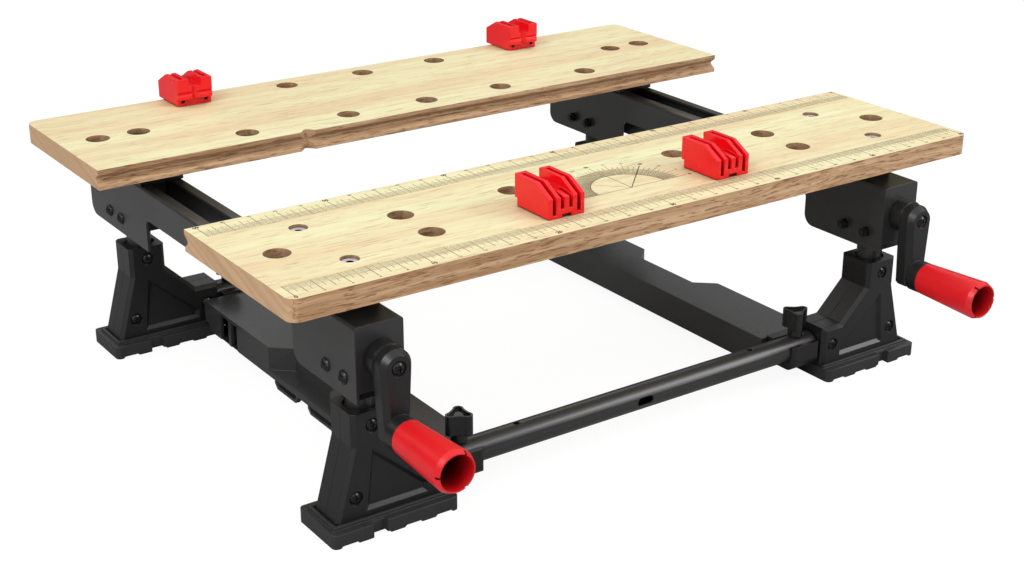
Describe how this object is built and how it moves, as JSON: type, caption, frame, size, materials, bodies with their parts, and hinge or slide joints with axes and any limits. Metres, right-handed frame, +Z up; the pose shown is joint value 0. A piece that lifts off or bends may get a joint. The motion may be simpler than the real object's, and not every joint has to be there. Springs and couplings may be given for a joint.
{
  "type": "folding workbench",
  "caption": "Low bench-top workbench: a fixed front board and a rear board drawn in by cranked screws, on steel channels and moulded feet.",
  "frame": {"origin": "on the floor, under the middle of the overall box", "axes": "+X to the user's right along the boards, +Y from the cranks to the rear board, +Z up"},
  "size_m": [0.611, 0.552, 0.2141],
  "materials": {
    "plywood": "sealed plywood with a ruler and protractor print on the front board",
    "black_plastic": "fine moulded texture",
    "coated_steel": "black powder coat",
    "red_plastic": "glossy moulded plastic",
    "bare_steel": "turned and plated",
    "sole_rubber": "matt",
    "black_screws": "blackened"
  },
  "bodies": {
    "frame": {"front_board": "plywood", "left_channel": "coated_steel", "right_channel": "coated_steel", "front_left_socket": "black_plastic", "front_right_socket": "black_plastic", "rear_left_socket": "black_plastic", "rear_right_socket": "black_plastic", "front_left_post": "coated_steel", "front_right_post": "coated_steel", "rear_left_post": "coated_steel", "rear_right_post": "coated_steel", "front_left_cover": "black_plastic", "front_right_cover": "black_plastic", "rear_left_cover": "black_plastic", "rear_right_cover": "black_plastic", "front_left_foot": "black_plastic", "front_right_foot": "black_plastic", "rear_left_foot": "black_plastic", "rear_right_foot": "black_plastic", "front_left_sole": "sole_rubber", "front_right_sole": "sole_rubber", "rear_left_sole": "sole_rubber", "rear_right_sole": "sole_rubber", "front_tube": "coated_steel", "rear_tube": "coated_steel", "left_rail": "black_plastic", "right_rail": "black_plastic", "front_left_saddle": "black_plastic", "front_right_saddle": "black_plastic", "rear_left_saddle": "black_plastic", "rear_right_saddle": "black_plastic", "left_spacer": "black_plastic", "right_spacer": "black_plastic", "side_bolts": "coated_steel", "lock_nuts": "coated_steel", "board_bolts": "bare_steel", "foot_screws": "black_screws", "left_bushing": "black_plastic", "right_bushing": "black_plastic"},
    "jaw": {"rear_board": "plywood", "left_slider": "black_plastic", "right_slider": "black_plastic", "pivot_bolts": "bare_steel"},
    "crank_left": {"left_crank": "black_plastic", "left_screw": "bare_steel", "left_crank_screw": "bare_steel"},
    "grip_left": {"left_grip": "red_plastic"},
    "crank_right": {"right_crank": "black_plastic", "right_screw": "bare_steel", "right_crank_screw": "bare_steel"},
    "grip_right": {"right_grip": "red_plastic"},
    "dog_front_left": {"front_left_dog": "red_plastic"},
    "knob_front_left": {"front_left_knob": "black_plastic"},
    "dog_front_right": {"front_right_dog": "red_plastic"},
    "knob_front_right": {"front_right_knob": "black_plastic"},
    "dog_rear_left": {"rear_left_dog": "red_plastic"},
    "knob_rear_left": {"rear_left_knob": "black_plastic"},
    "dog_rear_right": {"rear_right_dog": "red_plastic"},
    "knob_rear_right": {"rear_right_knob": "black_plastic"}
  },
  "joints": [
    {"name": "left_crank_turn", "type": "hinge", "parent": "frame", "child": "crank_left", "pos_m": [-0.24, -0.19135, 0.1344], "axis": [0, 1, 0], "range_deg": [0, 11012]},
    {"name": "right_crank_turn", "type": "hinge", "parent": "frame", "child": "crank_right", "pos_m": [0.24, -0.19135, 0.1344], "axis": [0, 1, 0], "range_deg": [0, 11012]},
    {"name": "jaw_slide", "type": "slide", "parent": "frame", "child": "jaw", "axis": [0, -1, 0], "range_m": [0, 0.153]},
    {"name": "left_grip_spin", "type": "hinge", "parent": "crank_left", "child": "grip_left", "pos_m": [-0.24, -0.24135, 0.0894], "axis": [0, 1, 0], "continuous": true},
    {"name": "right_grip_spin", "type": "hinge", "parent": "crank_right", "child": "grip_right", "pos_m": [0.24, -0.24135, 0.0894], "axis": [0, 1, 0], "continuous": true},
    {"name": "front_left_dog_swivel", "type": "hinge", "parent": "frame", "child": "dog_front_left", "pos_m": [-0.0766, -0.13795, 0.1906], "axis": [0, 0, 1], "continuous": true},
    {"name": "front_right_dog_swivel", "type": "hinge", "parent": "frame", "child": "dog_front_right", "pos_m": [0.0766, -0.13795, 0.1906], "axis": [0, 0, 1], "continuous": true},
    {"name": "rear_left_dog_swivel", "type": "hinge", "parent": "jaw", "child": "dog_rear_left", "pos_m": [-0.1695, 0.24795, 0.1906], "axis": [0, 0, 1], "continuous": true},
    {"name": "rear_right_dog_swivel", "type": "hinge", "parent": "jaw", "child": "dog_rear_right", "pos_m": [0.1695, 0.24795, 0.1906], "axis": [0, 0, 1], "continuous": true},
    {"name": "front_left_knob_turn", "type": "hinge", "parent": "frame", "child": "knob_front_left", "pos_m": [-0.16175, -0.15685, 0.045], "axis": [0, 0, 1], "range_deg": [0, 2520]},
    {"name": "front_right_knob_turn", "type": "hinge", "parent": "frame", "child": "knob_front_right", "pos_m": [0.16175, -0.15685, 0.045], "axis": [0, 0, 1], "range_deg": [0, 2520]},
    {"name": "rear_left_knob_turn", "type": "hinge", "parent": "frame", "child": "knob_rear_left", "pos_m": [-0.16175, 0.21095, 0.045], "axis": [0, 0, 1], "range_deg": [0, 2520]},
    {"name": "rear_right_knob_turn", "type": "hinge", "parent": "frame", "child": "knob_rear_right", "pos_m": [0.16175, 0.21095, 0.045], "axis": [0, 0, 1], "range_deg": [0, 2520]}
  ],
  "couplings": [
    {"joint": "right_crank_turn", "follows": "left_crank_turn", "ratio": 1},
    {"joint": "jaw_slide", "follows": "left_crank_turn", "m_per_rad": 0.00079577}
  ]
}
